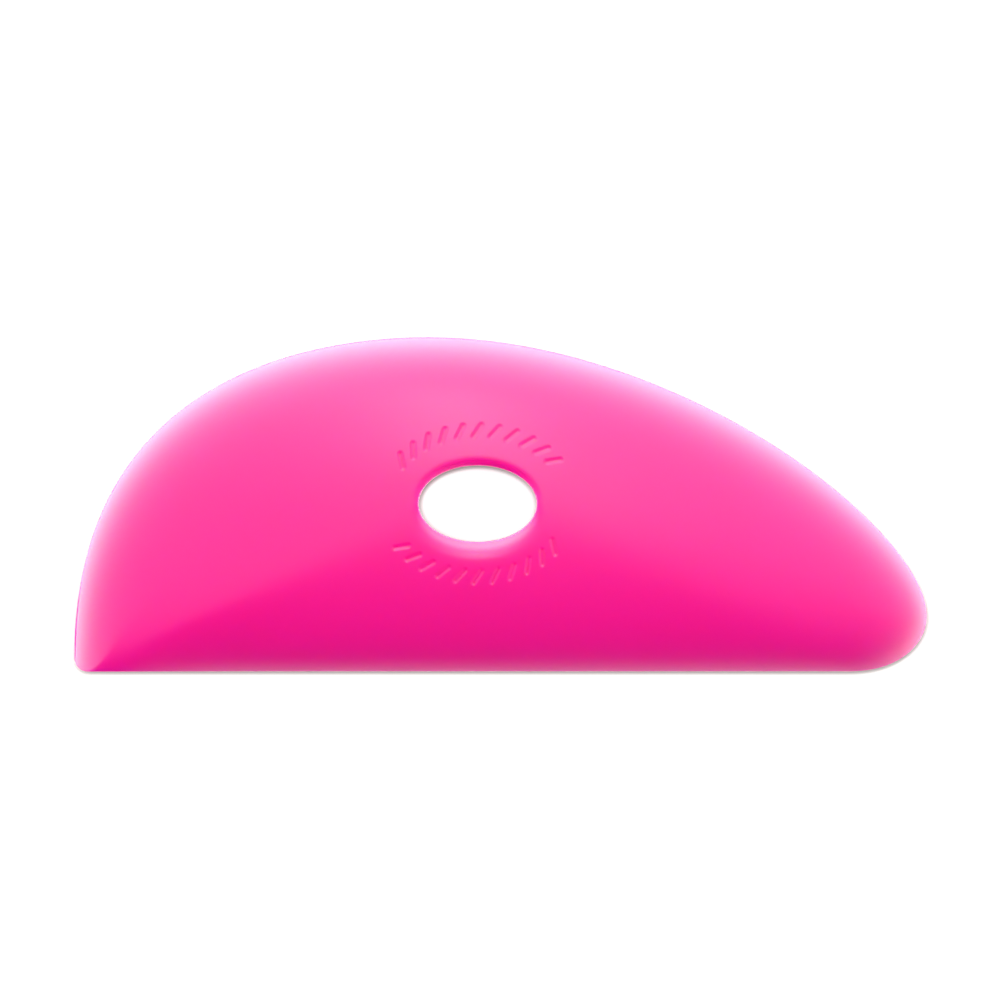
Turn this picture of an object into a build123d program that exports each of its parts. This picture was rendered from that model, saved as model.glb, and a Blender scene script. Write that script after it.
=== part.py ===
from build123d import *
import os
from math import atan2, cos, degrees, radians, sin, sqrt, tan

# A potter's soft rib: one slab of cast elastomer with a straight base, a long curved
# working edge, a pillowed front, a flat back and an oval hole for a finger or a hook.
# It lies on its back. X runs from the square heel to the slim tip, Y from the straight
# base to the crest of the curve, and Z out of the back through the pillowed front.
# The origin is the middle of the slab's own box, on the back face.

# Driving dimensions, in millimetres
rib_length = 127.0            # heel to tip
rib_height = 49.8             # straight base to crest
crown_thickness = 6.4         # back to the top of the pillow, in the middle of the hole
crown_rise = 1.2              # part of the front's rise that is one even arch
rim_wall = 1.6                # upright part of the edge, under the roll of the front
roll_beyond = 1.0             # how far past the crest the front would roll to be upright
heel_round = 2.0              # corner of the square end, seen from the front
back_round = 0.8              # softened edge all round the back

hole_length = 17.5
hole_height = 11.3
hole_from_heel = 60.1         # heel to the middle of the hole
hole_from_base = 25.0         # base to the middle of the hole
front_lip = 1.7               # width of the dish round the hole on the front, across the rib
front_lip_along = 1.4         # width of the same dish along the rib
front_lip_slope = 45          # degrees, where the dish meets the hole's wall
back_lip = 0.8                # softened edge of the hole on the back
back_lip_slope = 90           # degrees, so this one runs smoothly into the wall

# Grip marks: short slanted grooves on two arcs, one above the hole and one below
marks_per_arc = 11
mark_length = 2.6
mark_width = 0.6
mark_depth = 0.15
mark_gap = 5.2                # edge of the hole to the middle line of the marks
mark_slant = 34               # degrees away from pointing at the hole
arc_reach = 54                # degrees that each arc spreads to either side

overrun = 2.0                 # how far every cutting solid runs past the slab

# Sizes that follow from the driving dimensions
half_length = rib_length / 2
half_height = rib_height / 2
roll_rise = crown_thickness - rim_wall - crown_rise
roll_cut = half_height / (half_height + roll_beyond)
hole_x = hole_from_heel - half_length
hole_y = hole_from_base - half_height

# The outline in shares of the length from the heel and of the height from the base.
# Its three curves run into one another with the same direction and the same bend:
# the toe goes round the tip, the blade up to the crest, and the brow down to the heel.
toe_shares = ((0.9105, 0), (0.9658, 0), (1, 0.078), (1, 0.1661))
blade_shares = ((1, 0.1661), (1, 0.4223), (0.7114, 1), (0.4139, 1))
brow_shares = ((0.4139, 1), (0.2946, 1), (0, 0.9072))

# The front swells like a pillow, a roll that is steep at the rim under a low, even arch.
# Each of its levels is the outline, shrunk towards the middle of the hole. The levels
# stand at even turns of a quarter circle, so they lie closest where it is steep.
pillow_levels = 12
last_turn = 89                # degrees

# A lip is an arc that grows flatter on its way out from the hole's wall. It stops at a
# last slope and then runs straight on, past the face.
lip_levels = 4
lip_last_slope = 16           # degrees


def front_at(share):
    """Height of the front above the back, from 0 over the hole to 1 at the rim."""
    rim_roll = sqrt(1 - roll_cut ** 4)
    roll = (sqrt(1 - (roll_cut * share) ** 4) - rim_roll) / (1 - rim_roll)
    return rim_wall + roll_rise * roll + crown_rise * (1 - share ** 2)


def slab_outline(share):
    """The edges of the slab's outline, shrunk to this share towards the hole's middle."""
    middle = Vector(hole_x, hole_y)

    def shrunk(x, y):
        return middle + (Vector(x, y) - middle) * share

    def placed(share_pair):
        return shrunk(half_length * (2 * share_pair[0] - 1), half_height * (2 * share_pair[1] - 1))

    heel_top = shrunk(-half_length, heel_round - half_height)
    heel_foot = shrunk(heel_round - half_length, -half_height)
    with BuildLine() as outline:
        Bezier(*[placed(pair) for pair in toe_shares])
        Bezier(*[placed(pair) for pair in blade_shares])
        Bezier(*[placed(pair) for pair in brow_shares], heel_top)
        RadiusArc(heel_top, heel_foot, -heel_round * share)
        Line(heel_foot, placed(toe_shares[0]))
    return outline.edges()


def lip_profile(first_slope):
    """How far out and how far up a lip of one unit has come, at each of its levels."""
    first, last = radians(first_slope), radians(lip_last_slope)
    slopes = [first + (last - first) * level / lip_levels for level in range(lip_levels + 1)]
    profile = [(1 - sin(slope) / sin(first), (cos(slope) - cos(last)) / sin(first)) for slope in slopes]
    return profile + [(profile[-1][0] + 1, tan(last))]


with BuildPart() as rib_body:
    # the upright rim, with its back edge softened
    with BuildSketch(Plane.XY):
        make_face(slab_outline(1))
    extrude(amount=rim_wall)
    back_face = rib_body.faces().sort_by(Axis.Z)[0]
    fillet(back_face.edges(), min(back_round, rim_wall / 2))

    # the pillowed front
    for level in range(pillow_levels + 1):
        share = sqrt(cos(radians(last_turn * level / pillow_levels)))
        with BuildSketch(Plane.XY.offset(front_at(share))):
            make_face(slab_outline(share))
    loft(ruled=True)

    # the oval hole
    with BuildSketch(Plane.XY.offset(-overrun)):
        with Locations((hole_x, hole_y)):
            Ellipse(hole_length / 2, hole_height / 2)
    extrude(amount=crown_thickness + 2 * overrun, mode=Mode.SUBTRACT)

    # its lips, each a stack of widening ovals that runs straight on past the slab
    lip_top = front_at((hole_height / 2 + front_lip) / half_height)
    front = (front_lip_along, front_lip, front_lip_slope, 1, lip_top)
    back = (back_lip, back_lip, back_lip_slope, -1, 0)
    for lip_along, lip_across, first_slope, side, face_height in (front, back):
        for out, up in lip_profile(first_slope):
            with BuildSketch(Plane.XY.offset(face_height + side * lip_across * up)):
                with Locations((hole_x, hole_y)):
                    Ellipse(hole_length / 2 + lip_along * out, hole_height / 2 + lip_across * out)
        loft(ruled=True, mode=Mode.SUBTRACT)

    # the grip marks
    mark_arc_x = hole_length / 2 + mark_gap
    mark_arc_y = hole_height / 2 + mark_gap
    mark_places = []
    for arc_middle in (90, 270):
        for number in range(marks_per_arc):
            turn = radians(arc_middle + arc_reach * (2 * number / (marks_per_arc - 1) - 1))
            outward = degrees(atan2(mark_arc_x * sin(turn), mark_arc_y * cos(turn)))
            spot = (hole_x + mark_arc_x * cos(turn), hole_y + mark_arc_y * sin(turn), 0)
            mark_places.append(Location(spot, (0, 0, outward - mark_slant)))
    with BuildSketch(Plane.XY.offset(front_at(mark_arc_y / half_height) - mark_depth)):
        with Locations(*mark_places):
            SlotOverall(mark_length, mark_width)
    extrude(amount=overrun, mode=Mode.SUBTRACT)

os.makedirs("parts", exist_ok=True)
rib_body.part.label = "rib_body"
export_step(rib_body.part, "parts/rib_body.step")

size = rib_body.part.bounding_box().size
print(f"size {size.X:.2f} x {size.Y:.2f} x {size.Z:.2f} mm")
print(f"volume {rib_body.part.volume:.0f} mm3, {len(mark_places)} grip marks, valid {rib_body.part.is_valid}")
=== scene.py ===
# %% [markdown]
# # A potter's soft rib
# A rib is the tool a potter presses against the turning clay to smooth and curve a wall.
# This one is a single slab of soft, hot pink elastomer, cast in one go: a straight base,
# a long curved edge, a front that swells like a pillow, a flat back and an oval hole.
# There is nothing to assemble, so the whole lesson is about one good surface, its
# material, and a light that lets that surface be read.
#
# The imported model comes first. It fixes the place and the size of everything below.

# %% Load the frame
from math import cos, pi, radians, sin

import bmesh
import bpy
import numpy as np
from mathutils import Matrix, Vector
from mathutils.geometry import interpolate_bezier
from mathutils.kdtree import KDTree


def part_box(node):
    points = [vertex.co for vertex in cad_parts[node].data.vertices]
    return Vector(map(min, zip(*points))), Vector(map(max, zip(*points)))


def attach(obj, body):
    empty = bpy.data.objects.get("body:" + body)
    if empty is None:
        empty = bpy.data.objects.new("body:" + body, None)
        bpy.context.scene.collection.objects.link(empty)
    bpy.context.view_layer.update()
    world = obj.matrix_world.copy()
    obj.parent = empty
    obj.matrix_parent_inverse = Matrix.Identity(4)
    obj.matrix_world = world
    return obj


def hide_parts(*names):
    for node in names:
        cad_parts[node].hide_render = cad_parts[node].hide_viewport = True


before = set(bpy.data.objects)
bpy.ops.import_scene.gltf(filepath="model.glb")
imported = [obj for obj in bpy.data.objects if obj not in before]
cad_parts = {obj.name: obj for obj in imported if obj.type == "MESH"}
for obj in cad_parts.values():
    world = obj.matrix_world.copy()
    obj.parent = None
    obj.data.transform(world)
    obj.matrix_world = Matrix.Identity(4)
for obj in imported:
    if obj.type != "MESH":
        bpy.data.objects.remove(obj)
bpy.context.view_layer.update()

mm = 0.001
low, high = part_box("rib_body")
half_length = (high.x - low.x) / 2
half_height = (high.y - low.y) / 2
print(f"rib {2 * half_length / mm:.1f} x {2 * half_height / mm:.1f} mm")

# %% [markdown]
# ## The camera
# The photograph looks straight down on the rib, from far away, so the edge shows no
# perspective. A long lens at one metre does the same. The tool's own ends in the picture
# give the scale: so many pixels from heel to tip are so many metres of rib.

# %% Set the camera over the rib
photo_width_px = 1000
heel_px, tip_px = 74.2, 926.9
crest_px, base_px = 337.1, 671.6
camera_height = 1.0
widest_level = 1.6 * mm

metres_per_px = 2 * half_length / (tip_px - heel_px)
camera_data = bpy.data.cameras.new("photo_camera")
camera_data.lens = camera_data.sensor_width * camera_height / (photo_width_px * metres_per_px)
camera = bpy.data.objects.new("photo_camera", camera_data)
camera.location = (
    (photo_width_px / 2 - (heel_px + tip_px) / 2) * metres_per_px,
    ((crest_px + base_px) / 2 - photo_width_px / 2) * metres_per_px,
    camera_height + widest_level,
)
bpy.context.scene.collection.objects.link(camera)
bpy.context.scene.camera = camera
bpy.context.scene.view_settings.view_transform = "Standard"
print(f"{metres_per_px / mm:.4f} mm to the pixel, lens {camera_data.lens:.0f} mm")

# %% [markdown]
# ## The outline
# Seen from the front, the rib is three Bezier curves, a small round heel and a straight
# base. Blender's own interpolate_bezier walks along a curve, so the outline can be
# written as a few handles, like a designer's drawing, and sampled as finely as needed.
# The handles are shares of the rib's length and height, counted from heel and base.

# %% Walk round the outline
toe_shares = ((0.9105, 0), (0.9658, 0), (1, 0.078), (1, 0.1661))
blade_shares = ((1, 0.1661), (1, 0.4223), (0.7114, 1), (0.4139, 1))
brow_shares = ((0.4139, 1), (0.2946, 1), (0, 0.9072))
heel_round = 2.0 * mm
curve_steps = 500


def placed(share_pair):
    """A point of the outline in metres, from its shares of the length and the height."""
    return Vector(((2 * share_pair[0] - 1) * half_length, (2 * share_pair[1] - 1) * half_height))


def walk_outline():
    """Points all round the outline, from the base's end round tip, crest and heel."""
    heel_top = Vector((-half_length, heel_round - half_height))
    heel_middle = heel_top + Vector((heel_round, 0))
    walk = []
    for curve in (toe_shares, blade_shares, brow_shares):
        handles = [placed(pair) for pair in curve]
        knots = handles if len(handles) == 4 else handles + [heel_top]
        walk += interpolate_bezier(*knots, curve_steps)[:-1]
    for step in range(curve_steps):
        turn = pi + pi / 2 * step / curve_steps
        walk.append(heel_middle + heel_round * Vector((cos(turn), sin(turn))))
    heel_foot = heel_middle - Vector((0, heel_round))
    toe_start = placed(toe_shares[0])
    walk += [heel_foot.lerp(toe_start, step / curve_steps) for step in range(curve_steps)]
    return np.array(walk)


fine_outline = walk_outline()
print(f"outline walked in {len(fine_outline)} steps")

# %% [markdown]
# ## Spacing the columns
# The skin will be a grid of columns and rows: columns run from the rim in to the hole,
# rows run round. Even steps along the edge would be too coarse at the small heel corner,
# and would leave the grooves round the hole with few columns. So the columns follow a
# blend of three even counts: by direction seen from the hole, by distance walked, and by
# how much the edge has turned.

# %% Choose where the columns start
columns = 660
hole_middle = np.array((60.1 * mm - half_length, 25.0 * mm - half_height))
hole_half = np.array((17.5, 11.3)) * mm / 2
direction_weight, distance_weight, turning_weight = 0.55, 0.25, 0.20


def unwound(x, y):
    """Angles of a closed walk, as a count that grows from 0 to 1 over one full turn."""
    angle = np.unwrap(np.arctan2(y, x))
    return (angle - angle[0]) / (2 * pi)


def space_columns(walk):
    """The outline's points where the columns start, at even steps of the blended count."""
    closed = np.vstack((walk, walk[:1]))
    step = np.diff(closed, axis=0)
    step = np.vstack((step, step[:1]))
    distance = np.concatenate(((0,), np.cumsum(np.hypot(*step[:-1].T))))
    blended = (
        direction_weight * unwound(*(closed - hole_middle).T)
        + distance_weight * distance / distance[-1]
        + turning_weight * unwound(*step.T)
    )
    even = np.arange(columns) / columns
    return np.column_stack([np.interp(even, blended, closed[:, axis]) for axis in (0, 1)])


rim_ring = space_columns(fine_outline)
rim_reach = np.hypot(*(rim_ring - hole_middle).T)
rays = (rim_ring - hole_middle) / rim_reach[:, None]
print(f"{columns} columns, from {rim_reach.min() / mm:.1f} to {rim_reach.max() / mm:.1f} mm long")

# %% [markdown]
# ## The pillow
# The front swells from the rim to the hole in two ways at once. A broad pillow has levels
# that are the outline itself, shrunk towards the middle of the hole. That puts a crease
# on the straight way from the heel's corner to the hole, and an average over a few
# millimetres keeps the crease soft, softer the further it is from the heel. On top of it,
# a narrow roll takes the edge off, and is as wide at the ends as it is along the sides.
# So the height depends on two numbers: the share of the way out to the rim, and the
# distance from the rim. A KDTree finds the nearest step of the outline, and the exact
# distance is then to one of the two short lines that meet there. The heel's corner is
# blunt: it hardly falls towards the base, so its points are measured from higher up.

# %% Measure how far in a point lies
rim_tree = KDTree(len(fine_outline))
for number, point in enumerate(fine_outline):
    rim_tree.insert((*point, 0), number)
rim_tree.balance()


def turn_and_reach(points):
    """Direction and distance of each point, seen from the hole's middle."""
    away = points - hole_middle
    return np.arctan2(away[:, 1], away[:, 0]), np.hypot(*away.T)


def distance_to_line(points, start, end):
    """Distance of each point from its own short straight line."""
    along = end - start
    share = np.clip(((points - start) * along).sum(1) / (along**2).sum(1), 0, 1)
    return np.hypot(*(points - start - share[:, None] * along).T)


def rim_distance(points):
    """Distance of each point from the outline."""
    nearest = np.array([rim_tree.find((*point, 0))[1] for point in points])
    before, here = fine_outline[nearest - 1], fine_outline[nearest]
    after = fine_outline[(nearest + 1) % len(fine_outline)]
    return np.minimum(distance_to_line(points, before, here), distance_to_line(points, here, after))


def rim_share(points):
    """How far out each point is, from 0 at the hole's middle to 1 at the rim."""
    rim_turn, rim_far = turn_and_reach(fine_outline)
    order = np.argsort(rim_turn)
    turn, far = turn_and_reach(points)
    return far / np.interp(turn, rim_turn[order], rim_far[order], period=2 * pi)


print(f"the nearest edge is {rim_distance(hole_middle[None])[0] / mm:.1f} mm from the hole's middle")

# %% Raise the front
crown_thickness = 6.4 * mm
rim_wall = 1.6 * mm
roll_rise, roll_width = 1.7 * mm, 2.7 * mm
pillow_rise = crown_thickness - rim_wall - roll_rise
pillow_power = 2.2
crease_start, crease_growth, crease_limit = 0.8 * mm, 0.09, 5.0 * mm
crease_steps = 5
blunt_depth, blunt_length, blunt_height = 3.0 * mm, 13 * mm, 8 * mm


def moved_up(points, rise):
    """The points, moved towards the curved edge."""
    return points + np.column_stack((np.zeros(len(points)), rise))


def front_at(points):
    """Height of the front above the back at each point."""
    from_corner = points + (half_length, half_height)
    blunt = np.exp(-((from_corner / (blunt_length, blunt_height)) ** 2).sum(1))
    points = moved_up(points, blunt_depth * blunt)
    crease = np.minimum(crease_start + crease_growth * from_corner[:, 0], crease_limit)
    share_power, weights = 0, 0
    for step in range(-crease_steps, crease_steps + 1):
        part = step / (crease_steps + 1)
        weight = 1 - abs(part)
        share_power += weight * rim_share(moved_up(points, crease * part)) ** pillow_power
        weights += weight
    pillow = pillow_rise * (1 - share_power / weights)
    roll = roll_rise * (1 - np.exp(-rim_distance(points) / roll_width))
    return rim_wall + pillow + roll


crest = placed(blade_shares[-1])
for inwards in (0, 2, 5, 15):
    below_crest = np.array([(crest.x, crest.y - inwards * mm)])
    print(f"{inwards} mm in from the crest: {front_at(below_crest)[0] / mm:.2f} mm high")

# %% [markdown]
# ## The grip grooves
# Two arcs of short slanted grooves lie above and below the hole, where a thumb rests.
# They could be cut with a boolean, but a cut has knife edges, and a cast groove has
# soft ones. Here each groove is a distance: the skin sinks by the full depth wherever it
# is close to the groove's middle line, and rises again over a fraction of a millimetre.

# %% Depth of the grooves at any point
marks_per_arc = 11
mark_length, mark_width, mark_depth = 2.6 * mm, 0.55 * mm, 0.09 * mm
mark_gap = 5.2 * mm
mark_slant = radians(34)
arc_reach = radians(54)
mark_softness = 0.6 * mm


def groove_lines():
    """Middle point and direction of every groove."""
    arc_half = hole_half + mark_gap
    lines = []
    for arc_middle in (pi / 2, 3 * pi / 2):
        for number in range(marks_per_arc):
            turn = arc_middle + arc_reach * (2 * number / (marks_per_arc - 1) - 1)
            middle = hole_middle + arc_half * (cos(turn), sin(turn))
            outward = np.arctan2(arc_half[0] * sin(turn), arc_half[1] * cos(turn)) - mark_slant
            lines.append((middle, np.array((cos(outward), sin(outward)))))
    return lines


def groove_depth(points):
    """How deep the grooves are at each of these points."""
    deepest = np.zeros(len(points))
    straight_half = (mark_length - mark_width) / 2
    for middle, direction in groove_lines():
        offset = points - middle
        along = np.clip(offset @ direction, -straight_half, straight_half)
        distance = np.hypot(*(offset - along[:, None] * direction).T)
        rise = np.clip((distance - mark_width / 2) / mark_softness + 0.5, 0, 1)
        deepest = np.maximum(deepest, mark_depth * (1 - rise * rise * (3 - 2 * rise)))
    return deepest


print(len(groove_lines()), "grooves")

# %% [markdown]
# ## The rows of the skin
# One section through the slab, from rim to hole and back, gives the order of the rows: up
# the rim's wall, over the pillow, across to the ovals, down the lip round the hole, over
# its arris and through its wall, out over the back lip, across the flat back and round
# the softened back edge. The front lip is deepest and widest below the hole, narrower
# above it, and only slight at the hole's two ends. The rows lie close together where the
# section bends or is grooved.

# %% Shape the lip round the hole
lip_depth = {"above": 0.42 * mm, "below": 1.03 * mm, "ends": 0.09 * mm}
lip_width = {"above": 0.6 * mm, "below": 1.25 * mm, "ends": 0.6 * mm}
lip_power, side_power = 1.5, 1.5


def round_hole(values):
    """A value for every column, from the values above, below and at the ends of the hole."""
    rise = (rays[:, 1] / hole_half[1]) / np.hypot(*(rays / hole_half).T)
    side = np.where(rise > 0, values["above"], values["below"])
    return values["ends"] + (side - values["ends"]) * np.abs(rise) ** side_power


def lip_drop(growth):
    """How far the front lip has sunk, this far out from the hole's edge."""
    return round_hole(lip_depth) * np.exp(-((growth / round_hole(lip_width)) ** lip_power))


print(f"the front lip is {lip_drop(0).min() / mm:.2f} to {lip_drop(0).max() / mm:.2f} mm deep")

# %% Draw rings of points
def lifted(ring, height):
    """A row: a ring in the plane, lifted to this height."""
    return np.column_stack((ring, np.broadcast_to(height, len(ring))))


def oval(growth):
    """A ring round the hole, on an oval whose half axes are larger than the hole's."""
    return hole_middle + rays / np.hypot(*(rays / (hole_half + growth)).T)[:, None]


def drawn_in(inset):
    """The rim's ring, moved inwards by the same distance everywhere."""
    along = np.roll(rim_ring, -1, axis=0) - np.roll(rim_ring, 1, axis=0)
    inwards = np.column_stack((-along[:, 1], along[:, 0])) / np.hypot(*along.T)[:, None]
    return rim_ring + inset * inwards


def shrunk(ring, share):
    """A ring, scaled towards the hole's middle."""
    return hole_middle + (ring - hole_middle) * share


for name, ring in (("rim", drawn_in(0)), ("hole", oval(0))):
    length, width = np.ptp(ring, axis=0) / mm
    print(f"the {name}'s ring is {length:.1f} x {width:.1f} mm")

# %% Lay the rows over the front
back_round, rim_arris, hole_arris = 0.8 * mm, 0.12 * mm, 0.2 * mm
grooves_end, lip_end = mark_gap + 2.1 * mm, 3.4 * mm
pillow_end_share = 0.62  # where the shrunken outlines give way to ovals
rim_wall_shares = (0, 0.35, 0.7)
arris_rows, pillow_rows, crossing_rows, groove_rows, lip_rows = 6, 32, 13, 41, 24
pillow_crowding, lip_crowding = 1.5, 1.4


def evenly(count):
    """Even shares from 0 towards 1, without the 1."""
    return np.arange(count) / count


def rounded(start, corner, end, share):
    """Height on a soft bend that leaves its start, and meets its end, along the corner's two sides."""
    return (1 - share) ** 2 * start + 2 * share * (1 - share) * corner + share**2 * end


def rim_rows():
    """Up the rim's wall and over its softened arris."""
    corner, front_start = front_at(rim_ring), front_at(drawn_in(rim_arris))
    wall_top = corner - rim_arris
    made = [lifted(rim_ring, back_round + (wall_top - back_round) * share) for share in rim_wall_shares]
    for share in evenly(arris_rows):
        height = rounded(wall_top, corner, front_start, share)
        made.append(lifted(drawn_in(rim_arris * share**2), height))
    return made


def front_rows():
    """Over the pillow, across to the ovals, in through the grooves and down the lip."""
    front_edge = drawn_in(rim_arris)
    outer, inner = shrunk(front_edge, pillow_end_share), oval(grooves_end)
    shares = 1 - (1 - pillow_end_share) * evenly(pillow_rows) ** pillow_crowding
    rings = [shrunk(front_edge, share) for share in shares]
    rings += [outer + (inner - outer) * share for share in evenly(crossing_rows)]
    made = [lifted(ring, front_at(ring)) for ring in rings]
    grooved = grooves_end + (lip_end - grooves_end) * evenly(groove_rows)
    lipped = hole_arris + (lip_end - hole_arris) * np.linspace(1, 0, lip_rows + 1) ** lip_crowding
    for growth in np.concatenate((grooved, lipped)):
        ring = oval(growth)
        made.append(lifted(ring, front_at(ring) - groove_depth(ring) - lip_drop(growth)))
    return made


over_front = rim_rows() + front_rows()
print(len(over_front), "rows up the rim and over the front")

# %% Lay the rows through the hole and across the back
back_lip = 0.8 * mm
wall_rows, back_lip_rows, flat_rows, back_round_rows = 4, 6, 7, 5
probe = 0.2 * hole_arris  # a short step out from the arris, to feel the lip's slope
quarter = pi / 2


def hole_rows():
    """Over the hole's arris, down through the hole and out over the back lip."""
    made = []
    edge, further = (
        front_at(oval(growth)) - lip_drop(growth) for growth in (hole_arris, hole_arris + probe)
    )
    corner = edge - (further - edge) * hole_arris / probe
    wall_top = corner - hole_arris
    for share in evenly(arris_rows) + 1 / arris_rows:
        made.append(lifted(oval(hole_arris * (1 - share) ** 2), rounded(edge, corner, wall_top, share)))
    made += [lifted(oval(0), wall_top + (back_lip - wall_top) * share) for share in evenly(wall_rows)[1:]]
    for turn in quarter * evenly(back_lip_rows):
        made.append(lifted(oval(back_lip * (1 - cos(turn))), back_lip * (1 - sin(turn))))
    return made


def back_rows():
    """Across the flat back and round its softened edge."""
    inner, outer = oval(back_lip), drawn_in(back_round)
    made = [lifted(inner + (outer - inner) * share, 0) for share in evenly(flat_rows)]
    for turn in quarter * (1 - evenly(back_round_rows)):
        made.append(lifted(drawn_in(back_round * (1 - cos(turn))), back_round * (1 - sin(turn))))
    return made


rows = over_front + hole_rows() + back_rows()
print(f"{len(rows)} rows, {2 * len(rows) * columns} triangles")

# %% [markdown]
# ## Wrapping a grid
# A sheet of graph paper, rolled into a tube and bent round until the tube's ends meet, is
# a ring, and that is what a slab with one hole is. So the mesh starts as Blender's plain
# grid, each of its points is carried to its column and row, and merging doubles closes
# the two seams. No face is ever written by hand, and no pole or triangle is left.

# %% Build the rib's skin
seam_gap = 0.001 * mm


def wrap_grid(name, rows):
    """A closed skin through these rows, as a new object."""
    count_across, count_around = len(rows), len(rows[0])
    skin = bmesh.new()
    bmesh.ops.create_grid(skin, x_segments=count_around, y_segments=count_across, size=1)
    for point in skin.verts:
        column = round((point.co.x + 1) / 2 * count_around) % count_around
        row = round((point.co.y + 1) / 2 * count_across) % count_across
        point.co = rows[row][column]
    bmesh.ops.remove_doubles(skin, verts=skin.verts, dist=seam_gap)
    bmesh.ops.recalc_face_normals(skin, faces=skin.faces)
    for face in skin.faces:
        face.smooth = True
    print(f"{name}: {len(skin.faces)} quads, {skin.calc_volume() / mm**3:.0f} mm3")
    mesh = bpy.data.meshes.new(name)
    skin.to_mesh(mesh)
    skin.free()
    made = bpy.data.objects.new(name, mesh)
    bpy.context.scene.collection.objects.link(made)
    return made


rib_skin = wrap_grid("rib_skin", rows)

# %% [markdown]
# ## The material
# The elastomer is saturated, slightly translucent and satin, with a slick skin. So the
# colour has almost no green, subsurface scattering softens the light within it, and a
# coat with a fairly high IOR lies over the satin. The mould left hairlines along the
# length, which are a noise squeezed hard across the grain. Real cast faces are also never
# quite true: a second, slow noise bends the reflections by a fraction of a degree. Both
# work through bump. A slow cloudiness keeps the pink from being one flat number.

# %% Write the small node helpers
def add_node(tree, kind, values=(), **settings):
    """A node with these settings, and these values on its named inputs."""
    made = tree.nodes.new(kind)
    for setting, value in settings.items():
        setattr(made, setting, value)
    for socket, value in dict(values).items():
        made.inputs[socket].default_value = value
    return made


def stretched_noise(tree, repeats, detail):
    """Noise with this many repeats to the metre along each axis."""
    place = add_node(tree, "ShaderNodeTexCoord")
    mapping = add_node(tree, "ShaderNodeMapping", {"Scale": repeats})
    noise = add_node(tree, "ShaderNodeTexNoise", {"Scale": 1.0, "Detail": detail})
    tree.links.new(place.outputs["Object"], mapping.inputs["Vector"])
    tree.links.new(mapping.outputs["Vector"], noise.inputs["Vector"])
    return noise.outputs["Fac"]


def add_bump(tree, height, distance, under=None):
    """Bump of this height map, over the normal that lies under it."""
    bump = add_node(tree, "ShaderNodeBump", {"Strength": 1.0, "Distance": distance})
    tree.links.new(height, bump.inputs["Height"])
    if under:
        tree.links.new(under, bump.inputs["Normal"])
    return bump.outputs["Normal"]


def add_math(tree, operation, first, second, third=0.0):
    """The result of a Math node on these numbers and sockets."""
    made = add_node(tree, "ShaderNodeMath", operation=operation)
    for number, value in enumerate((first, second, third)):
        if isinstance(value, float):
            made.inputs[number].default_value = value
        else:
            tree.links.new(value, made.inputs[number])
    return made.outputs["Value"]


print("helpers for a node, a noise, a bump and a sum")

# %% Mix the pink elastomer
pink = (0.98, 0.001, 0.33, 1)
pink_cloud = (0.95, 0.002, 0.36, 1)
cloud_repeats, unevenness_repeats, hairline_repeats = (35, 50, 35), (45, 60, 45), (45, 3400, 45)
unevenness_height, hairline_height = 0.04 * mm, 0.002 * mm
satin_least, satin_most = 0.22, 0.28
light_travel = 5.0 * mm
first_color, second_color, mixed_color = 6, 7, 2  # a Mix node's sockets for colours


def elastomer():
    """The rib's material."""
    material = bpy.data.materials.new("soft_pink_elastomer")
    material.use_nodes = True
    tree = material.node_tree
    shader = tree.nodes["Principled BSDF"]
    shader.inputs["IOR"].default_value = 1.5
    shader.inputs["Specular IOR Level"].default_value = 1.0
    shader.inputs["Coat Weight"].default_value = 1.0
    shader.inputs["Coat IOR"].default_value = 1.65
    shader.inputs["Coat Roughness"].default_value = 0.25
    shader.inputs["Subsurface Weight"].default_value = 1.0
    shader.inputs["Subsurface Radius"].default_value = (1.0, 0.25, 0.8)
    shader.inputs["Subsurface Scale"].default_value = light_travel

    cloud = stretched_noise(tree, cloud_repeats, detail=2)
    tint = add_node(tree, "ShaderNodeMix", data_type="RGBA")
    tint.inputs[first_color].default_value = pink
    tint.inputs[second_color].default_value = pink_cloud
    tree.links.new(cloud, tint.inputs["Factor"])
    tree.links.new(tint.outputs[mixed_color], shader.inputs["Base Color"])

    hairlines = stretched_noise(tree, hairline_repeats, detail=1)
    satin = add_node(tree, "ShaderNodeMapRange", {"To Min": satin_least, "To Max": satin_most})
    tree.links.new(hairlines, satin.inputs["Value"])
    tree.links.new(satin.outputs["Result"], shader.inputs["Roughness"])
    slow_waves = stretched_noise(tree, unevenness_repeats, detail=1)
    unevenness = add_bump(tree, slow_waves, unevenness_height)
    normal = add_bump(tree, hairlines, hairline_height, under=unevenness)
    tree.links.new(normal, shader.inputs["Normal"])
    tree.links.new(normal, shader.inputs["Coat Normal"])
    return material


rib_skin.data.materials.append(elastomer())
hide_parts("rib_body")
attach(rib_skin, "root")
print(len(rib_skin.active_material.node_tree.nodes), "nodes in the material")

# %% [markdown]
# ## The table
# The rib lies on plain paper, a mid grey that glows white to the camera and to
# reflections, as overexposed paper does. The glow fades where something is very near on
# the side that the light comes from, which paints a thin shadow that hugs the rib and the
# far side of the hole. It lights nothing, since a Light Path node gives it to those rays alone.

# %% Lay the floor
floor_size = 6.0
floor_gap = 0.02 * mm
paper_grey, paper_roughness = 0.3, 0.9
paper_glow = 0.95
shadow_reach, shadow_power, shadow_lean = 0.9 * mm, 1.5, (-0.3, 0.8, 0)
shadow_samples = 16  # rays that feel for what is near


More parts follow.
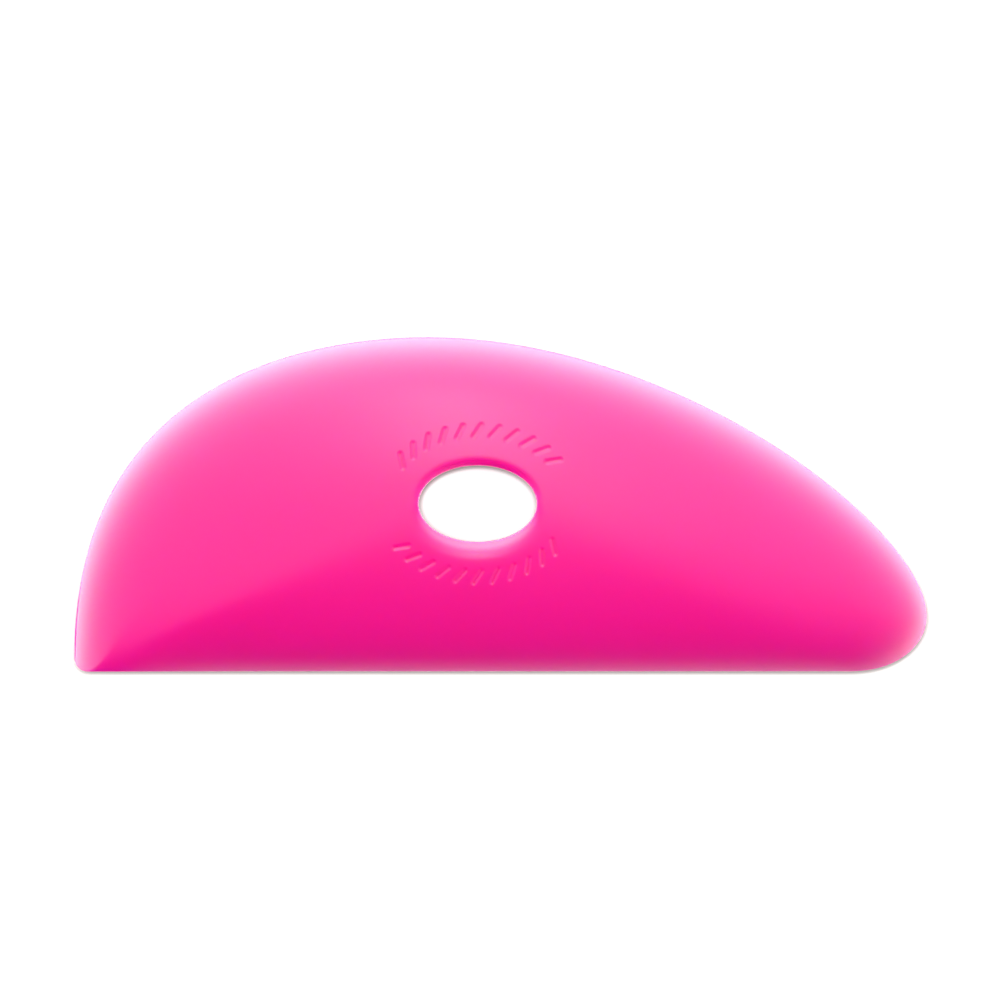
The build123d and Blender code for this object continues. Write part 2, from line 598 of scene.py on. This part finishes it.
def glow_strength(tree):
    """The paper's glow, for the camera and for reflections only, dimmed into a painted shadow where
    things are near.
    """
    light_path = add_node(tree, "ShaderNodeLightPath").outputs
    seen = light_path["Is Camera Ray"]
    for kind in ("Is Glossy Ray", "Is Transmission Ray"):
        seen = add_math(tree, "MAXIMUM", seen, light_path[kind])
    upright = add_node(tree, "ShaderNodeNewGeometry")
    leaning = add_node(tree, "ShaderNodeVectorMath", {1: shadow_lean}, operation="ADD")
    tree.links.new(upright.outputs["Normal"], leaning.inputs[0])
    facing = add_node(tree, "ShaderNodeVectorMath", operation="NORMALIZE")
    tree.links.new(leaning.outputs["Vector"], facing.inputs[0])
    openness = add_node(tree, "ShaderNodeAmbientOcclusion", samples=shadow_samples)
    openness.inputs["Distance"].default_value = shadow_reach
    tree.links.new(facing.outputs["Vector"], openness.inputs["Normal"])
    # painted shadow: the white glow dims where the occlusion rays find the rib close by
    faded = add_math(tree, "POWER", openness.outputs["AO"], shadow_power)
    return add_math(tree, "MULTIPLY", add_math(tree, "MULTIPLY", faded, paper_glow), seen)


def lay_floor():
    """A wide square just under the rib."""
    sheet = bmesh.new()
    bmesh.ops.create_grid(sheet, x_segments=1, y_segments=1, size=floor_size / 2)
    bmesh.ops.translate(sheet, verts=sheet.verts, vec=(0, 0, low.z - floor_gap))
    mesh = bpy.data.meshes.new("floor")
    sheet.to_mesh(mesh)
    sheet.free()
    paper = bpy.data.materials.new("white_paper")
    paper.use_nodes = True
    shader = paper.node_tree.nodes["Principled BSDF"]
    shader.inputs["Base Color"].default_value = (paper_grey, paper_grey, paper_grey, 1)
    shader.inputs["Roughness"].default_value = paper_roughness
    shader.inputs["Emission Color"].default_value = (1, 1, 1, 1)
    paper.node_tree.links.new(glow_strength(paper.node_tree), shader.inputs["Emission Strength"])
    mesh.materials.append(paper)
    made = bpy.data.objects.new("floor", mesh)
    bpy.context.scene.collection.objects.link(made)


lay_floor()
print(f"paper {floor_size:.0f} m wide, {floor_gap / mm:.2f} mm under the rib")

# %% [markdown]
# ## The light
# A glossy thing shows its surroundings, so most of this light is a tent all round: it is
# dim overhead, bright low down, brightest behind the curved edge and dark on the near
# side. Each direction's strength comes from a short formula on the direction itself, with
# x to the right, y to the far side, and a lowness that is 0 overhead and 1 level with the
# table. A slim strip high above adds the glow across the middle of the face.

# %% Put up the tent
overhead = 0.16
low_gain, low_square_gain = 1.81, 1.60
far_gain, far_low_gain = 0.86, 1.61
side_gain, slant_gain = 2.46, -0.99
tent_tint = (1, 1, 0.85, 1)


def tent_strength(tree):
    """How bright the tent is in each direction."""

    def step(*values):
        return add_math(tree, *values)

    direction = add_node(tree, "ShaderNodeTexCoord")
    axes = add_node(tree, "ShaderNodeSeparateXYZ")
    tree.links.new(direction.outputs["Generated"], axes.inputs["Vector"])
    x, y = axes.outputs["X"], axes.outputs["Y"]
    lowness = step("SUBTRACT", 1.0, axes.outputs["Z"])
    rising = step("MULTIPLY", lowness, step("MULTIPLY_ADD", lowness, low_square_gain, low_gain))
    far = step("MULTIPLY", y, step("MULTIPLY_ADD", lowness, far_low_gain, far_gain))
    side = step("MULTIPLY", x, step("MULTIPLY", x, step("MULTIPLY", lowness, side_gain)))
    slant = step("MULTIPLY", x, step("MULTIPLY", y, slant_gain))
    sky = step("ADD", step("ADD", rising, far), step("ADD", side, slant))
    return step("MAXIMUM", step("ADD", sky, overhead), 0.0)


tent = bpy.data.worlds.new("light_tent")
bpy.context.scene.world = tent
tent.use_nodes = True
tent_light = tent.node_tree.nodes["Background"]
tent_light.inputs["Color"].default_value = tent_tint
tent.node_tree.links.new(tent_strength(tent.node_tree), tent_light.inputs["Strength"])
print(len(tent.node_tree.nodes), "nodes in the tent")

# %% Hang the strip
strip_place = Vector((0, 1.0, 4.0))
strip_size = (0.28, 1.6)
strip_radiance = 2.8

strip = bpy.data.lights.new("strip", "AREA")
strip.shape = "RECTANGLE"
strip.size, strip.size_y = strip_size
strip.energy = strip_radiance * pi * strip.size * strip.size_y
strip_light = bpy.data.objects.new("strip", strip)
strip_light.location = strip_place
strip_light.rotation_euler = strip_place.to_track_quat("Z", "Y").to_euler()
bpy.context.scene.collection.objects.link(strip_light)
print(f"strip of {strip.energy:.0f} W, {strip_place.length:.1f} m away")
